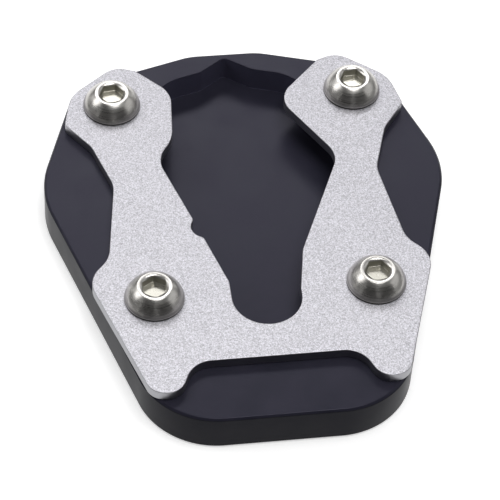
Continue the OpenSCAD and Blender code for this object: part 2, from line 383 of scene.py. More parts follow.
class Graph:
    """A small helper that wires shader nodes.

    Args:
        tree: The node tree to fill.
    """

    def __init__(self, tree: bpy.types.NodeTree) -> None:
        """Empty the tree and keep it."""
        self.tree = tree
        tree.nodes.clear()

    def add(self, kind: str, settings: dict | None = None, **inputs: object) -> bpy.types.Node:
        """Add a node.

        Args:
            kind: The node's type.
            settings: Its own properties.
            **inputs: Input sockets by name, with underscores for spaces: a value or an output socket.

        Returns:
            The node.
        """
        node = self.tree.nodes.new(kind)
        for key, value in (settings or {}).items():
            setattr(node, key, value)
        for key, value in inputs.items():
            self.put(node, key.replace("_", " "), value)
        return node

    def put(self, node: bpy.types.Node, socket: str | int, value: object) -> None:
        """Set or link one input.

        Args:
            node: The node.
            socket: The input's name or number.
            value: A value or an output socket.
        """
        if isinstance(value, bpy.types.NodeSocket):
            self.tree.links.new(value, node.inputs[socket])
        else:
            node.inputs[socket].default_value = value

    def noise(self, vector: bpy.types.NodeSocket, cell: float, detail: float) -> bpy.types.NodeSocket:
        """Noise with the given cell size and number of finer layers."""
        node = self.add("ShaderNodeTexNoise", Vector=vector, Scale=1 / (cell * MM), Detail=detail)
        return node.outputs[0]

    def ramp(self, value: bpy.types.NodeSocket, low: float, high: float,
             to_low: float, to_high: float) -> bpy.types.NodeSocket:
        """Carry one range over to another, held at its ends.

        Args:
            value: The number to carry over.
            low: Start of its range.
            high: End of its range.
            to_low: What the start becomes.
            to_high: What the end becomes.

        Returns:
            The new number.
        """
        node = self.add("ShaderNodeMapRange", Value=value)
        for number, bound in enumerate((low, high, to_low, to_high), start=1):
            self.put(node, number, bound)
        return node.outputs[0]

    def spread(self, noise: bpy.types.NodeSocket, low: float = 0.0,
               high: float = 1.0) -> bpy.types.NodeSocket:
        """Carry a noise, whose values lie about between 0.3 and 0.7, over to a whole range."""
        return self.ramp(noise, 0.3, 0.7, low, high)

    def blend(self, factor: bpy.types.NodeSocket, a: object, b: object) -> bpy.types.NodeSocket:
        """Mix two colours by a factor.

        Args:
            factor: From 0 for the first colour to 1 for the second.
            a: Red, green and blue, or an output socket.
            b: Red, green and blue, or an output socket.

        Returns:
            The mixed colour.
        """
        node = self.add("ShaderNodeMix", {"data_type": "RGBA"})
        self.put(node, 0, factor)
        for number, colour in ((6, a), (7, b)):
            self.put(node, number, colour + (1.0,) if isinstance(colour, tuple) else colour)
        return node.outputs[2]

    def mix(self, factor: bpy.types.NodeSocket, a: object, b: object) -> bpy.types.NodeSocket:
        """Mix two numbers by a factor.

        Args:
            factor: From 0 for the first number to 1 for the second.
            a: A value or an output socket.
            b: A value or an output socket.

        Returns:
            The mixed number.
        """
        node = self.add("ShaderNodeMix", {"data_type": "FLOAT"})
        for number, value in ((0, factor), (2, a), (3, b)):
            self.put(node, number, value)
        return node.outputs[0]

    def times(self, colour: bpy.types.NodeSocket, factor: bpy.types.NodeSocket) -> bpy.types.NodeSocket:
        """Scale a colour.

        Args:
            colour: The colour.
            factor: What to multiply it by.

        Returns:
            The scaled colour.
        """
        node = self.add("ShaderNodeVectorMath", {"operation": "SCALE"})
        self.put(node, 0, colour)
        self.put(node, "Scale", factor)
        return node.outputs[0]


def new_material(name: str) -> tuple[bpy.types.Material, Graph]:
    """Make an empty node material.

    Args:
        name: Its name.

    Returns:
        The material and its graph.
    """
    material = bpy.data.materials.new(name)
    material.use_nodes = True
    return material, Graph(material.node_tree)


@dataclass(frozen=True)
class BlackAnodised:
    """Satin black anodised aluminium with a faint blue-violet tint.

    Args:
        name: The material's name.
        deep: Colour of the darker clouds.
        pale: Colour of the paler clouds.
        sheen: Colour of the reflection.
        sheen_level: Strength of the reflection.
        roughness: Roughness of the darker and the paler clouds.
        cloud: Size of a cloud.
        grain: Size of a grain.
        grain_height: How high the grain stands.
        grain_strength: How strongly the grain shades.
    """

    name: str = "black_anodised"
    deep: tuple = (0.0165, 0.0165, 0.026)
    pale: tuple = (0.022, 0.021, 0.033)
    sheen: tuple = (0.81, 0.79, 1.0)
    sheen_level: float = 0.212
    roughness: tuple = (0.30, 0.37)
    cloud: float = 6.0
    grain: float = 0.22
    grain_height: float = 0.002
    grain_strength: float = 0.5

    def make(self) -> bpy.types.Material:
        """Build the material.

        Returns:
            The material.
        """
        material, graph = new_material(self.name)
        place = graph.add("ShaderNodeTexCoord").outputs["Object"]
        cloud = graph.noise(place, self.cloud, 3.0)
        grain = graph.noise(place, self.grain, 2.0)
        bump = graph.add("ShaderNodeBump", Height=grain, Strength=self.grain_strength,
                         Distance=self.grain_height * MM)
        shader = graph.add(
            "ShaderNodeBsdfPrincipled",
            Base_Color=graph.blend(graph.spread(cloud), self.deep, self.pale),
            Roughness=graph.spread(cloud, *self.roughness),
            Normal=bump.outputs[0],
            IOR=1.5,
            Specular_IOR_Level=self.sheen_level,
            Specular_Tint=self.sheen + (1.0,),
        )
        graph.add("ShaderNodeOutputMaterial", Surface=shader.outputs[0])
        return material


@dataclass(frozen=True)
class BlastedAluminium:
    """Bead-blasted, clear anodised aluminium with a fine sparkling grain and a smoother cut edge whose
    darker colour is painted shade.

    Args:
        dark: Colour of the grain's hollows.
        light: Colour of the grain's tips.
        roughness: Roughness of the hollows and the tips.
        grain: Size of a grain.
        grain_height: How high the grain stands.
        grain_strength: How strongly the grain shades on the cut edge and on the face.
        cut: Colour of the cut edge, darkened as painted shade.
        cut_roughness: Roughness of the cut edge.
        face_at: Heights between which the edge's finish gives way to the face's.
    """

    dark: tuple = (0.34, 0.335, 0.36)
    light: tuple = (0.81, 0.80, 0.85)
    roughness: tuple = (0.48, 0.62)
    grain: float = 0.2
    grain_height: float = 0.04
    grain_strength: tuple = (0.05, 0.6)
    cut: tuple = (0.35, 0.35, 0.37)
    cut_roughness: float = 0.4
    face_at: tuple = (9.44, 9.49)

    def make(self) -> bpy.types.Material:
        """Build the material.

        Returns:
            The material.
        """
        material, graph = new_material("silver_blasted")
        place = graph.add("ShaderNodeTexCoord").outputs["Object"]
        grain = graph.noise(place, self.grain, 2.0)
        height = graph.add("ShaderNodeSeparateXYZ", Vector=place).outputs[2]
        low, high = self.face_at
        face = graph.ramp(height, low * MM, high * MM, 0.0, 1.0)
        blasted = graph.blend(graph.spread(grain), self.dark, self.light)
        strength = graph.ramp(face, 0.0, 1.0, *self.grain_strength)
        bump = graph.add("ShaderNodeBump", Height=grain, Strength=strength,
                         Distance=self.grain_height * MM)
        # Painted shade: the cut edge's colour is darker than the blasted face; its lower roughness is its
        # own finish.
        shader = graph.add(
            "ShaderNodeBsdfPrincipled",
            Base_Color=graph.blend(face, self.cut, blasted),
            Roughness=graph.mix(face, self.cut_roughness, graph.spread(grain, *self.roughness)),
            Metallic=1.0,
            Normal=bump.outputs[0],
        )
        graph.add("ShaderNodeOutputMaterial", Surface=shader.outputs[0])
        return material


@dataclass(frozen=True)
class TurnedSteel:
    """Stainless steel with the faint rings that turning leaves, a socket whose rough walls are darkened
    with painted shade, and painted shade at the head's foot.

    Args:
        dark: Colour of the rings' hollows.
        light: Colour of the rings' tops.
        roughness: Roughness of the hollows and the tops.
        ring: Distance between rings.
        ring_height: How high the rings stand.
        ring_strength: How strongly the rings shade.
        ring_drift: How fast a ring changes along its own length.
        floor: Colour of the socket's floor.
        broach: Colour of the socket's walls, darker than the turned steel as painted shade in the recess.
        broach_roughness: Roughness of the socket's walls.
        broach_span: Where the socket's walls begin and end along the unrolled profile.
        foot: Heights between which the dark rim at the head's foot ends, a painted contact shadow.
        foot_shade: How much of the colour is left on that rim under the painted shadow.
        band: Heights where the painted shade over the dome's lowest part begins, is deepest and
            has faded out.
        band_shade: How much of the colour is left where that painted shade is deepest.
    """

    dark: tuple = (0.565, 0.547, 0.518)
    light: tuple = (0.705, 0.688, 0.66)
    roughness: tuple = (0.26, 0.33)
    ring: float = 0.12
    ring_height: float = 0.002
    ring_strength: float = 0.5
    ring_drift: float = 0.4
    floor: tuple = (0.54, 0.525, 0.47)
    broach: tuple = (0.375, 0.365, 0.32)
    broach_roughness: float = 0.5
    broach_span: tuple = (1.05, 1.2, 2.3, 2.5)
    foot: tuple = (9.91, 9.94)
    foot_shade: float = 0.08
    band: tuple = (10.02, 10.08, 10.9)
    band_shade: float = 0.4

    def make(self) -> bpy.types.Material:
        """Build the material.

        Returns:
            The material.
        """
        material, graph = new_material("stainless_screw")
        flat = graph.add("ShaderNodeUVMap", {"uv_map": "unrolled"}).outputs[0]
        rings = graph.add("ShaderNodeMapping", Vector=flat, Scale=(self.ring_drift, 1 / self.ring, 1.0))
        wear = graph.add("ShaderNodeTexNoise", Vector=rings.outputs[0], Scale=1.0, Detail=3.0).outputs[0]
        along = graph.add("ShaderNodeSeparateXYZ", Vector=flat).outputs[1]
        begin, full, fall, end = self.broach_span
        past_floor = graph.ramp(along, begin, full, 0.0, 1.0)
        inside = graph.mix(graph.ramp(along, fall, end, 0.0, 1.0), past_floor, 0.0)
        place = graph.add("ShaderNodeTexCoord").outputs["Object"]
        height = graph.add("ShaderNodeSeparateXYZ", Vector=place).outputs[2]
        # Painted shade: a dark rim at the head's foot stands in for the contact shadow, and a darker band
        # over the dome's lowest part stands in for shade there.
        painted_foot_shade = graph.ramp(height, self.foot[0] * MM, self.foot[1] * MM, self.foot_shade, 1.0)
        edge, deep, gone = self.band
        above = graph.ramp(height, deep * MM, gone * MM, self.band_shade, 1.0)
        band = graph.mix(graph.ramp(height, edge * MM, deep * MM, 0.0, 1.0), 1.0, above)
        turned = graph.blend(graph.spread(wear), self.dark, self.light)
        # Painted shade: the socket's walls take the darker broach colour for the shade in the recess.
        metal = graph.blend(past_floor, self.floor, graph.blend(inside, turned, self.broach))
        strength = graph.mix(inside, self.ring_strength, 0.0)
        bump = graph.add("ShaderNodeBump", Height=wear, Strength=strength,
                         Distance=self.ring_height * MM)
        shader = graph.add(
            "ShaderNodeBsdfPrincipled",
            Base_Color=graph.times(graph.times(metal, painted_foot_shade), band),
            Roughness=graph.mix(inside, graph.spread(wear, *self.roughness), self.broach_roughness),
            Metallic=1.0,
            Normal=bump.outputs[0],
        )
        graph.add("ShaderNodeOutputMaterial", Surface=shader.outputs[0])
        return material


@dataclass(frozen=True)
class Thread:
    """A coarse metric thread.

    Args:
        major: Its outer radius.
        pitch: Rise in one turn.
        depth: Depth from crest to root.
        steepness: How much steeper the flanks are than a plain triangular wave.
        crest: Share of the steepened wave that is flat at the crest.
    """

    major: float = 3.0
    pitch: float = 1.0
    depth: float = 0.6
    steepness: float = 1.6
    crest: float = 0.25

    def radius(self, angle: np.ndarray, z: np.ndarray, fade: np.ndarray) -> np.ndarray:
        """Radius of the thread's surface.

        The phase f is the fractional part of z / pitch - angle / (2 pi), and w is 1 - |2 f - 1|. The
        depth cut at that phase is the full depth times steepness w - crest, held between 0 and 1.

        Args:
            angle: Angle round the axis.
            z: Height.
            fade: From 0, where the thread has run out, to 1.

        Returns:
            The radius at each point.
        """
        phase = np.mod(z / self.pitch - angle / (2 * np.pi), 1.0)
        wave = 1.0 - np.abs(2 * phase - 1.0)
        cut = np.clip(wave * self.steepness - self.crest, 0.0, 1.0)
        return self.major - self.depth * cut * fade


@dataclass(frozen=True)
class Seat:
    """Where a screw sits and how far it is turned.

    Args:
        name: Its place in words.
        x: Distance to the right of the middle.
        y: Distance back from the middle.
        turn: Turn of its socket in degrees.
    """

    name: str
    x: float
    y: float
    turn: float

    def around(self, r: np.ndarray, angle: np.ndarray, z: np.ndarray) -> np.ndarray:
        """Points round the screw's axis, at (x + r cos a, y + r sin a, z) with a turned by the seat.

        Args:
            r: Radius of each point.
            angle: Angle round the axis, before the turn.
            z: Height.

        Returns:
            The points, with one more axis than the radii.
        """
        turned = angle + math.radians(self.turn)
        return np.stack([
            self.x + r * np.cos(turned),
            self.y + r * np.sin(turned),
            np.broadcast_to(z, r.shape),
        ], axis=-1)


@dataclass(frozen=True)
class Layout:
    """What the three kinds of piece share."""

    base_l: float = 83.7
    base_t: float = 7.5
    plate_t: float = 2.0
    front_row_at: float = 25.05
    row_gap: float = 45.35
    front_span: float = 38.3
    back_span: float = 44.2
    thread: Thread = Thread()
    thread_gap: float = 0.1
    hole_gap: float = 0.6
    front_left_turn: float = 30.0
    front_right_turn: float = 4.0
    back_right_turn: float = 5.0
    back_left_turn: float = 7.0

    @property
    def front_row(self) -> float:
        """How far back the front screws stand."""
        return self.front_row_at - self.base_l / 2

    @property
    def back_row(self) -> float:
        """How far back the back screws stand."""
        return self.front_row + self.row_gap

    def seats(self) -> list[Seat]:
        """List the four screw places.

        Returns:
            The seats, counter-clockwise from the front left.
        """
        return [
            Seat("front_left", -self.front_span / 2, self.front_row, self.front_left_turn),
            Seat("front_right", self.front_span / 2, self.front_row, self.front_right_turn),
            Seat("back_right", self.back_span / 2, self.back_row, self.back_right_turn),
            Seat("back_left", -self.back_span / 2, self.back_row, self.back_left_turn),
        ]


@dataclass
class BasePad:
    """The black pad: a chamfered block with a sunk pocket and four tapped holes.

    Each outline corner has a width across both sides, a distance from an edge or a screw row, and a
    radius. A support is the width of the flat band that keeps a softened edge's shading off a face.
    """

    layout: Layout
    front_w: float = 40.4
    front_r: float = 14.0
    wide_w: float = 73.5
    wide_at: float = 53.1
    wide_r: float = 19.0
    shoulder_w: float = 56.6
    shoulder_at: float = 6.3
    shoulder_r: float = 10.0
    back_w: float = 12.8
    back_r: float = 12.0
    top_chamfer: float = 0.4
    foot_chamfer: float = 0.3
    pocket_d: float = 5.0
    pocket_wall: float = 4.8
    pocket_back_w: float = 27.2
    pocket_back_r: float = 9.0
    pocket_w: float = 36.8
    pocket_w_at: float = 13.5
    pocket_side_r: float = 8.0
    pocket_front_w: float = 16.4
    pocket_front_at: float = 9.2
    pocket_front_r: float = 7.5
    relief_w: float = 9.4
    relief_wall: float = 1.2
    relief_tip_r: float = 1.0
    relief_foot_r: float = 3.0
    tap_chamfer: float = 0.4
    tap_lead: float = 0.4
    tap_fade: float = 0.5
    tap_support: float = 0.2
    tap_rows: int = 72
    tap_columns: int = 72
    soft: float = 0.1
    rim_support: float = 0.65
    pocket_soft: float = 0.12
    pocket_foot_soft: float = 0.05
    pocket_support: float = 0.3
    pocket_foot_support: float = 0.4

    @property
    def half(self) -> list[Corner]:
        """The right half of the outline.

        Returns:
            Its corners from front to back.
        """
        front, back = -self.layout.base_l / 2, self.layout.base_l / 2
        return [
            Corner(self.front_w / 2, front, self.front_r),
            Corner(self.wide_w / 2, front + self.wide_at, self.wide_r),
            Corner(self.shoulder_w / 2, back - self.shoulder_at, self.shoulder_r),
            Corner(self.back_w / 2, back, self.back_r),
        ]

    def side_x(self, y: float) -> float:
        """Place of the side edge, in front of the widest place or behind it.

        Args:
            y: Distance back from the middle.

        Returns:
            Distance to the right of the middle.
        """
        front, wide, shoulder, _ = self.half
        a, b = (front, wide) if y < wide.y else (wide, shoulder)
        return a.x + (b.x - a.x) * (y - a.y) / (b.y - a.y)

    def slant_y(self, x: float) -> float:
        """Place of the slanted back edge at x."""
        _, _, shoulder, back = self.half
        return shoulder.y + (back.y - shoulder.y) * (x - shoulder.x) / (back.x - shoulder.x)

    def pocket(self) -> list[Corner]:
        """Outline of the pocket, which runs beside the pad's slanted back edges.

        Returns:
            Its corners, counter-clockwise.
        """
        _, _, shoulder, back = self.half
        slope = (back.y - shoulder.y) / (back.x - shoulder.x)
        drop = self.pocket_wall * math.hypot(1.0, slope)
        right = [
            Corner(self.pocket_front_w / 2, self.layout.front_row - self.pocket_front_at,
                   self.pocket_front_r),
            Corner(self.pocket_w / 2, self.layout.back_row - self.pocket_w_at, self.pocket_side_r),
            Corner(self.pocket_back_w / 2, self.slant_y(self.pocket_back_w / 2) - drop,
                   self.pocket_back_r),
            Corner(self.relief_w / 2, self.slant_y(self.relief_w / 2) - drop, self.relief_foot_r),
        ]
        point = Corner(0.0, back.y - self.relief_wall, self.relief_tip_r)
        return both_sides(right, [point])

    def tapped_hole(self, shell: Shell, seat: Seat) -> np.ndarray:
        """Add one tapped hole, which follows its screw's thread at a small gap.

        Args:
            shell: The pad's shell.
            seat: The screw's place.

        Returns:
            Its rings of vertex numbers, from the top face to the underside.
        """
        top = self.layout.base_t
        gap = self.layout.thread_gap / 2
        radius = self.layout.thread.major + gap
        mouth = radius + self.tap_chamfer
        start = top - 1.5 * self.tap_lead
        rows = np.linspace(start, self.tap_chamfer, self.tap_rows)
        z = np.concatenate([[top, top, (top + start) / 2], rows, [0.0, 0.0]])[:, None]
        angle = np.linspace(0.0, 2 * np.pi, self.tap_columns, endpoint=False)[None]
        below_top = np.clip((top - self.tap_lead - z) / self.tap_fade, 0.0, 1.0)
        above_mouth = np.clip((z - self.tap_chamfer) / self.tap_fade, 0.0, 1.0)
        r = self.layout.thread.radius(angle, z, below_top * above_mouth) + gap
        r[0] += self.tap_support
        r[-2:] = np.array([[mouth], [mouth + self.tap_support]])
        return shell.grid(seat.around(r, angle, z))

    def build(self) -> bpy.types.Object:
        """Make the pad.

        Returns:
            The object.
        """
        shell = Shell("base_pad_body")
        top, floor = self.layout.base_t, self.layout.base_t - self.pocket_d
        rim = softened(
            [(self.rim_support, top), (self.top_chamfer, top), (0.0, top - self.top_chamfer),
             (0.0, self.foot_chamfer), (self.foot_chamfer, 0.0), (self.rim_support, 0.0)],
            [self.soft] * 4,
        )
        # The side walls take a darker copy of the black finish: painted shade.
        side_painted_shade = (rim[:-1, 1] < top - self.soft) & (rim[1:, 1] > self.foot_chamfer / 2)
        edge = shell.wall(Path.rounded(both_sides(self.half)), rim, Side.INSIDE,
                          np.where(side_painted_shade, PadFinishAndPaintedLight.SIDE, PadFinishAndPaintedLight.FACE))
        sunk = softened(
            [(self.pocket_support, top), (0.0, top), (0.0, floor), (-self.pocket_foot_support, floor)],
            [self.pocket_soft, self.pocket_foot_soft],
        )
        # The pocket's walls take a paler copy of the black finish: painted light.
        pocket_painted_light = (sunk[:-1, 1] < top - self.soft) & (sunk[1:, 1] > floor)
        pocket = shell.wall(Path.rounded(self.pocket()), sunk, Side.OUTSIDE,
                            np.where(pocket_painted_light, PadFinishAndPaintedLight.POCKET, PadFinishAndPaintedLight.FACE))
        holes = [self.tapped_hole(shell, seat) for seat in self.layout.seats()]
        shell.face([edge[0], pocket[0]] + [hole[0] for hole in holes])
        shell.face([pocket[-1]])
        shell.face([edge[-1]] + [hole[-1] for hole in holes])
        return shell.build()

    def dress(self, item: bpy.types.Object, finish: bpy.types.Material) -> None:
        """Give the pad its finish, a darker copy that paints shade on the side walls and a paler copy
        that paints light on the pocket's walls, and put it in its place in the frame.

        Args:
            item: The pad.
            finish: The material of its top and its underside.
        """
        item.data.materials.append(finish)
        # A darker copy of the black finish, with weaker reflection and a more neutral colour, paints shade
        # onto the pad's side walls.
        side = BlackAnodised("black_anodised_side_painted_shade", deep=(0.015, 0.015, 0.019),
                             pale=(0.021, 0.021, 0.025), sheen_level=0.065)
        item.data.materials.append(side.make())
        # A paler copy of the black finish paints light onto the pocket's walls.
        sunk = BlackAnodised("black_anodised_pocket_painted_light", deep=(0.054, 0.053, 0.085),
                             pale=(0.062, 0.060, 0.096))
        item.data.materials.append(sunk.make())
        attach(item, BODY)
        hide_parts("base_pad")


@dataclass
class ClampPlate:
    """The silver plate with legs in front, ears at the back and the slot for the stand's leg.

    A tuple ends with its corner's radius, except scoop_front. Before it stand, for the waist and the
    root, the width across and the distance from the nearest screws; for the side and the shoulder of
    the ear, the distance from the back screws and the distance in from the pad's edge; for the back
    and the inner corner of the ear, the distances from the middle and from the pad's slanted edge;
    and for the lips, bays, tips and the left ear, the distances from the middle and from the nearest
    screws. The scoop and the flare are measured from the left lip and from the front screws.
    """

    layout: Layout
    pad: BasePad
    notch_w: float = 28.2
    notch_at: float = 14.1
    notch_r: float = 4.6
    leg_reach: float = 20.3
    leg_slant: float = 0.6
    leg_lean: float = 2.8
    leg_inset: float = 0.2
    leg_r: float = 3.3
    hip_at: float = 5.05
    hip_over: float = 0.45
    hip_r: float = 5.0
    waist_front: tuple = (52.0, 9.45, 5.8)
    waist_back: tuple = (47.2, 19.3, 6.2)
    root: tuple = (53.4, 9.75, 4.6)
    ear_side: tuple = (3.95, 1.1, 1.5)
    ear_shoulder: tuple = (3.05, 0.3, 7.0)
    ear_back: tuple = (20.8, 0.5, 4.2)
    ear_inner: tuple = (17.0, 1.95, 0.5)
    slot_w: float = 12.0
    web_w: float = 6.8
    right_flare_at: float = 0.2
    right_lip: tuple = (7.6, 8.4, 2.3)
    right_bay: tuple = (17.1, 15.6, 5.1)
    right_tip: tuple = (8.2, 0.75, 4.8)
    left_flare: tuple = (2.4, 1.9)
    left_lip: tuple = (9.2, 12.7, 0.9)
    scoop_l: float = 4.15
    scoop_d: float = 2.1
    scoop_front: tuple = (1.4, 0.65)
    scoop_bottom_at: float = 2.6
    scoop_r: float = 2.4
    scoop_mouth: tuple = (1.3, 1.1)
    left_bay: tuple = (15.3, 13.6, 5.5)
    left_ear: tuple = (12.0, 9.4, 8.4)
    left_tip: tuple = (11.0, 2.3, 5.6)
    soft: float = 0.18
    support: float = 0.4
    slot_flat: float = 0.001

    def outline(self) -> list[Corner]:
        """Outline of the plate, whose outer corners follow the pad's edges.

        Returns:
            Its corners, counter-clockwise from the notch.
        """
        front, back = self.layout.front_row, self.layout.back_row
        pad = self.pad
        tip = front - self.leg_reach
        right = [
            Corner(self.notch_w / 2, front - self.notch_at, self.notch_r),
            Corner(self.notch_w / 2 + self.leg_lean, tip, self.leg_r),
            Corner(pad.side_x(tip + self.leg_slant) - self.leg_inset, tip + self.leg_slant, self.leg_r),
            Corner(pad.side_x(front + self.hip_at) + self.hip_over, front + self.hip_at, self.hip_r),
            Corner(self.waist_front[0] / 2, front + self.waist_front[1], self.waist_front[2]),
            Corner(self.waist_back[0] / 2, back - self.waist_back[1], self.waist_back[2]),
            Corner(self.root[0] / 2, back - self.root[1], self.root[2]),
            Corner(pad.side_x(back - self.ear_side[0]) - self.ear_side[1], back - self.ear_side[0],
                   self.ear_side[2]),
            Corner(pad.side_x(back + self.ear_shoulder[0]) - self.ear_shoulder[1],
                   back + self.ear_shoulder[0], self.ear_shoulder[2]),
            Corner(self.ear_back[0], pad.slant_y(self.ear_back[0]) + self.ear_back[1], self.ear_back[2]),
            Corner(self.ear_inner[0], pad.slant_y(self.ear_inner[0]) - self.ear_inner[1],
                   self.ear_inner[2]),
        ]
        slot_x = self.slot_w / 2
        slot_y = front - self.notch_at + self.web_w + slot_x
        lip = Corner(-self.left_lip[0], front + self.left_lip[1], self.left_lip[2])
        opening = [
            Corner(self.right_tip[0], back - self.right_tip[1], self.right_tip[2]),
            Corner(self.right_bay[0], back - self.right_bay[1], self.right_bay[2]),
            Corner(self.right_lip[0], front + self.right_lip[1], self.right_lip[2]),
            Corner(slot_x, front - self.right_flare_at, 0.0),
            Corner(slot_x, slot_y - slot_x, slot_x - self.slot_flat),
            Corner(-slot_x, slot_y - slot_x, slot_x - self.slot_flat),
            Corner(-slot_x, front + self.left_flare[0], self.left_flare[1]),
            lip,
            Corner(lip.x - self.scoop_front[0], lip.y + self.scoop_front[1], self.scoop_r),
            Corner(lip.x - self.scoop_d, lip.y + self.scoop_bottom_at, self.scoop_r),
            Corner(lip.x - self.scoop_mouth[0], lip.y + self.scoop_l, self.scoop_mouth[1]),
            Corner(-self.left_bay[0], back - self.left_bay[1], self.left_bay[2]),
            Corner(-self.left_ear[0], back - self.left_ear[1], self.left_ear[2]),
            Corner(-self.left_tip[0], back + self.left_tip[1], self.left_tip[2]),
        ]
        return both_sides(right, opening)

    def build(self) -> bpy.types.Object:
        """Make the plate.

        Returns:
            The object.
        """
        shell = Shell("clamp_plate_body")
        low, high = self.layout.base_t, self.layout.base_t + self.layout.plate_t
        rim = softened([(self.support, high), (0.0, high), (0.0, low), (self.support, low)],
                       [self.soft] * 2)
        edge = shell.wall(Path.rounded(self.outline()), rim, Side.INSIDE)
        hole_r = self.layout.thread.major + self.layout.hole_gap / 2
        holes = [
            shell.wall(Path.circle(seat.x, seat.y, hole_r), rim, Side.OUTSIDE)
            for seat in self.layout.seats()
        ]
        shell.face([edge[0]] + [hole[0] for hole in holes])
        shell.face([edge[-1]] + [hole[-1] for hole in holes])
        return shell.build()

    def dress(self, item: bpy.types.Object, finish: bpy.types.Material) -> None:
        """Give the plate its finish and put it in its place in the frame.

        Args:
            item: The plate.
            finish: Its material.
        """
        item.data.materials.append(finish)
        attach(item, BODY)
        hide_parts("clamp_plate")


@dataclass
class ButtonScrew:
    """One button-head screw with a hex socket.

    A soft value is how far a softened edge reaches, and the end's rings lie in from the thread's root.
    """

    layout: Layout
    seat: Seat
    length: float = 8.0
    end_chamfer: float = 0.6
    head_r: float = 5.15
    head_h: float = 3.3
    flat_r: float = 3.0
    rim_h: float = 0.4
    hex_af: float = 4.0
    hex_d: float = 1.6
    mouth_r: float = 2.5
    mouth_slope: float = 30.0
    socket_soft: float = 0.04
    mouth_soft: float = 0.03
    flat_soft: float = 0.05
    rim_soft: float = 0.08
    flat_support: float = 0.15
    under_support: float = 0.6
    neck: float = 0.3
    neck_support: float = 0.02
    run_out: float = 0.6
    end_rings: tuple = (0.05, 0.25)
    end_drop: float = 0.03
    dome_rows: int = 22
    thread_rows: int = 84
    columns: int = 96

    def head_profile(self) -> np.ndarray:
        """Radius and height down the outside of the head, from the flat ring to the underside.

        The dome is part of a sphere through the edge of the flat ring and the top of the rim.

        Returns:
            Rows of radius and height.
        """
        ring = np.array([self.flat_r, self.head_h])
        rim = np.array([self.head_r, self.rim_h])
        low = (ring @ ring - rim @ rim) / (2 * (ring[1] - rim[1]))
        dome_r = float(np.linalg.norm(rim - [0.0, low]))
        z = np.linspace(self.head_h, self.rim_h, self.dome_rows)[1:-1]
        dome = np.stack([np.sqrt(dome_r ** 2 - (z - low) ** 2), z], axis=1)
        corner = softened([(self.flat_r - self.flat_support, self.head_h), (self.flat_r, self.head_h),
                           tuple(dome[0])], [self.flat_soft])
        rim_turn = softened([tuple(dome[-1]), tuple(rim), (self.head_r, 0.0),
                             (self.head_r - self.under_support, 0.0)], [self.rim_soft] * 2)
        return np.concatenate([corner[:-1], dome[:-1], rim_turn])

    def build(self) -> bpy.types.Object:
        """Make the screw as one surface of revolution whose socket has six sides.

        Each row of the grid is a ring. The socket's radius at angle a is half its width across flats
        over cos(b), where b is the angle to the middle of the nearest side.

        Returns:
            The object.
        """
        shell = Shell(f"screw_{self.seat.name}")
        angle = np.linspace(0.0, 2 * np.pi, self.columns, endpoint=False)
        to_side = np.mod(angle, np.pi / 3) - np.pi / 6
        hexagon = self.hex_af / 2 / np.cos(to_side)
        mouth = self.head_h - (self.mouth_r - hexagon) * math.tan(math.radians(self.mouth_slope))
        floor = self.head_h - self.hex_d
        base = self.layout.base_t + self.layout.plate_t
        thread = self.layout.thread
        end_r = thread.major - thread.depth
        shank = np.linspace(-self.neck, self.end_chamfer - self.length, self.thread_rows)[:, None]
        fade = np.clip((-self.neck - shank) / self.run_out, 0.0, 1.0)
        soft = self.socket_soft
        rings: list[tuple] = [
            (hexagon / 2, floor),
            (hexagon - soft * 3, floor),
            (hexagon - soft, floor),
            (hexagon - soft * 0.3, floor + soft * 0.3),
            (hexagon, floor + soft),
            (hexagon, floor + soft * 3),
            (hexagon, mouth - soft),
            (hexagon + soft / 2, mouth + soft / 4),
            (self.mouth_r - self.mouth_soft, self.head_h - self.mouth_soft * 2 / 3),
            (self.mouth_r + self.mouth_soft, self.head_h),
            *self.head_profile(),
            (thread.major, -self.neck_support),
            *zip(thread.radius(angle, base + shank, fade), shank),
            (end_r - self.end_rings[0], self.end_drop - self.length),
            (end_r - self.end_rings[1], -self.length),
        ]
        r, z = (np.stack([np.broadcast_to(value, angle.shape) for value in values])
                for values in zip(*rings))
        step = np.hypot(np.diff(r, axis=0), np.diff(z, axis=0))
        travel = np.concatenate([np.zeros((1, self.columns)), np.cumsum(step, axis=0)])
        across = np.broadcast_to(np.abs(angle - np.pi), r.shape)
        ids = shell.grid(self.seat.around(r, angle, base + z), np.stack([across, travel], axis=-1))
        shell.close(ids[0], np.array([self.seat.x, self.seat.y, base + floor]), -1.0)
        shell.close(ids[-1], np.array([self.seat.x, self.seat.y, base - self.length]),
                    float(travel[-1, 0]) + end_r)
        return shell.build()

    def dress(self, item: bpy.types.Object, finish: bpy.types.Material) -> None:
        """Give the screw its finish and put it in its place in the frame.

        Args:
            item: The screw.
            finish: Its material.
        """
        item.data.materials.append(finish)
        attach(item, BODY)
        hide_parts("clamp_screws")


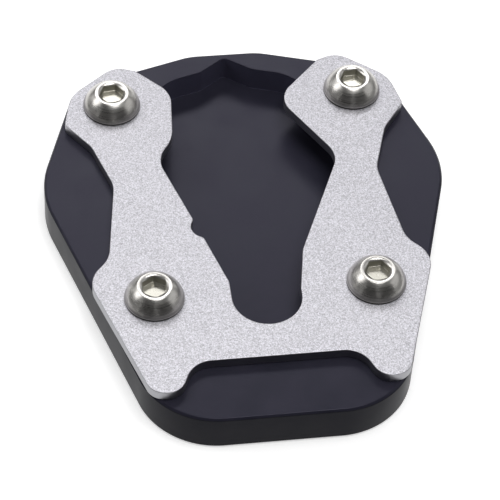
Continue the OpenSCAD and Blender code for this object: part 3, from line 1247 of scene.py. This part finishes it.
@dataclass(frozen=True)
class Flag:
    """A dark sheet that the camera doesn't see, so that metal has something dark to show.

    Args:
        name: Its name.
        start: Where it starts, to the right and back, in metres.
        end: Where it ends.
        low: Height of its lower edge. It lies flat where this is also the height of its upper edge.
        high: Height of its upper edge.
        shade: How much light it gives back.
    """

    name: str
    start: tuple
    end: tuple
    low: float
    high: float
    shade: float

    def corners(self) -> list[tuple]:
        """Work out where the sheet hangs.

        Returns:
            Its four corners.
        """
        (x0, y0), (x1, y1) = self.start, self.end
        if self.low == self.high:
            return [(x0, y0, self.low), (x1, y0, self.low), (x1, y1, self.low), (x0, y1, self.low)]
        return [(x0, y0, self.low), (x1, y1, self.low), (x1, y1, self.high), (x0, y0, self.high)]

    def hang(self) -> None:
        """Make the sheet. One that lies on the floor doesn't shade the paper."""
        item = new_sheet(self.name, self.corners())
        item.visible_camera = False
        item.visible_shadow = item.visible_diffuse = self.high > CARD_AT
        material, graph = new_material(self.name)
        cloth = graph.add("ShaderNodeBsdfDiffuse", Color=(self.shade,) * 3 + (1.0,))
        graph.add("ShaderNodeOutputMaterial", Surface=cloth.outputs[0])
        item.data.materials.append(material)


@dataclass(frozen=True)
class Lamp:
    """A soft lamp that faces the object.

    Args:
        name: Its name.
        place: Where it hangs, in metres.
        size: Its width and height in metres.
        radiance: How bright it looks, where white paper in full light is 1.
    """

    name: str
    place: tuple
    size: tuple
    radiance: float

    def hang(self) -> None:
        """Make the lamp and turn it to the object."""
        light = bpy.data.lights.new(self.name, "AREA")
        light.shape = "RECTANGLE"
        light.size, light.size_y = self.size
        light.energy = self.radiance * math.pi * self.size[0] * self.size[1]
        item = new_object(self.name, light)
        item.location = self.place
        item.rotation_euler = (-Vector(self.place)).to_track_quat("-Z", "Y").to_euler()


@dataclass
class Studio:
    """The plain white studio: floor, world, dark sheets, lamps and camera, whose eye is in millimetres."""

    flags: tuple[Flag, ...] = (
        Flag("front_left_flag", (-1.0, -0.5), (-0.015, -0.9), 0.0, 1.6, 0.06),
        Flag("front_right_flag", (0.015, -0.9), (1.0, -0.5), 0.0, 1.6, 0.06),
        # Painted shade: the three cards lying on the floor are seen only in reflections, as a darker floor
        # round the object.
        Flag("front_card", (-0.8, -0.9), (0.8, -0.075), CARD_AT, CARD_AT, 0.07),
        Flag("left_card", (-0.8, -0.074), (-0.075, 0.3), CARD_AT, CARD_AT, 0.08),
        Flag("right_card", (0.075, -0.074), (0.8, 0.3), CARD_AT, CARD_AT, 0.08),
        Flag("left_flag", (-1.1, -0.5), (-1.1, 0.75), 0.0, 1.2, 0.4),
        Flag("right_flag", (1.1, -0.5), (1.1, 0.75), 0.0, 1.2, 0.4),
        Flag("back_flag", (-1.1, 0.98), (1.1, 0.98), 0.0, 0.55, 0.5),
        Flag("top_flag", (-1.5, -0.9), (1.5, 0.93), 1.3, 1.3, 0.25),
    )
    lamps: tuple[Lamp, ...] = (
        Lamp("overhead", (0.06, -0.07, 0.5), (0.25, 0.25), 7.35),
        Lamp("back_panel", (-0.2, 0.72, 0.82), (1.2, 0.20), 3.7),
        Lamp("left_panel", (-0.80, 0.20, 0.58), (0.42, 0.55), 2.4),
        Lamp("right_panel", (0.90, 0.0, 0.42), (0.8, 0.6), 0.53),
    )
    floor_size: float = 4.0
    floor_gap: float = 0.00005
    paper: float = 0.8
    glow: float = 0.5
    background: float = 1.0
    fill: float = 0.62
    eye: tuple = (-50.143, -265.696, 323.208)
    right: tuple = (0.990254, -0.131812, 0.044974)
    up: tuple = (0.072736, 0.764842, 0.640099)
    lens: float = 170.15
    sensor: float = 36.0

    def camera(self) -> bpy.types.Object:
        """Put the camera where the photograph was taken from.

        Returns:
            The camera.
        """
        lens = bpy.data.cameras.new("camera")
        lens.lens = self.lens
        lens.sensor_width = self.sensor
        lens.clip_start = 0.01
        lens.clip_end = 20.0
        right = Vector(self.right).normalized()
        back = right.cross(Vector(self.up)).normalized()
        up = back.cross(right)
        turn = Matrix((right, up, back)).transposed()
        eye = new_object("camera", lens)
        eye.matrix_world = Matrix.Translation(Vector(self.eye) * MM) @ turn.to_4x4()
        bpy.context.scene.camera = eye
        return eye

    def seen_directly(self, graph: Graph) -> bpy.types.NodeSocket:
        """Tell the rays that look at a surface from those that only carry its light.

        Args:
            graph: The graph that asks.

        Returns:
            One for a camera, glossy or transmission ray, and zero for others.
        """
        path = graph.add("ShaderNodeLightPath")
        first = graph.add("ShaderNodeMath", {"operation": "MAXIMUM"})
        graph.put(first, 0, path.outputs["Is Camera Ray"])
        graph.put(first, 1, path.outputs["Is Glossy Ray"])
        both = graph.add("ShaderNodeMath", {"operation": "MAXIMUM"})
        graph.put(both, 0, first.outputs[0])
        graph.put(both, 1, path.outputs["Is Transmission Ray"])
        return both.outputs[0]

    def world(self) -> None:
        """White to look at and softer as a lamp."""
        world = bpy.data.worlds.new("studio")
        world.use_nodes = True
        graph = Graph(world.node_tree)
        strength = graph.ramp(self.seen_directly(graph), 0.0, 1.0, self.fill, self.background)
        sky = graph.add("ShaderNodeBackground", Color=(1.0, 1.0, 1.0, 1.0), Strength=strength)
        graph.add("ShaderNodeOutputWorld", Surface=sky.outputs[0])
        bpy.context.scene.world = world

    def floor(self) -> bpy.types.Object:
        """Lay a pale floor that keeps the object's shadow.

        Returns:
            The floor.
        """
        half, z = self.floor_size / 2, -self.floor_gap
        item = new_sheet("floor", [(-half, -half, z), (half, -half, z), (half, half, z), (-half, half, z)])
        material, graph = new_material("pale_floor")
        paper = graph.add("ShaderNodeBsdfDiffuse", Color=(self.paper,) * 3 + (1.0,))
        glow = graph.add(
            "ShaderNodeEmission",
            Color=(1.0, 1.0, 1.0, 1.0),
            Strength=graph.ramp(self.seen_directly(graph), 0.0, 1.0, 0.0, self.glow),
        )
        both = graph.add("ShaderNodeAddShader")
        graph.put(both, 0, paper.outputs[0])
        graph.put(both, 1, glow.outputs[0])
        graph.add("ShaderNodeOutputMaterial", Surface=both.outputs[0])
        item.data.materials.append(material)
        return item

    def build(self) -> None:
        """Set the studio up."""
        self.camera()
        self.world()
        self.floor()
        for part in self.flags + self.lamps:
            part.hang()
        bpy.context.scene.view_settings.view_transform = "Standard"


def report(item: bpy.types.Object) -> None:
    """Log a finished piece's size and face count."""
    spans = ", ".join(f"{side / MM:.1f}" for side in item.dimensions)
    LOG.info("%s: %s mm, %d faces", item.name, spans, len(item.data.polygons))


def main() -> None:
    """Build, dress and report every piece, then set up the studio."""
    logging.basicConfig(level=logging.INFO, format="%(name)s: %(message)s")
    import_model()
    layout = Layout()
    black, silver, steel = BlackAnodised().make(), BlastedAluminium().make(), TurnedSteel().make()
    pad = BasePad(layout)
    plate = ClampPlate(layout, pad)
    work: list[tuple] = [(pad, black), (plate, silver)]
    work += [(ButtonScrew(layout, seat), steel) for seat in layout.seats()]
    for assembly, finish in work:
        item = assembly.build()
        assembly.dress(item, finish)
        report(item)
    Studio().build()


if __name__ == "__main__":
    main()
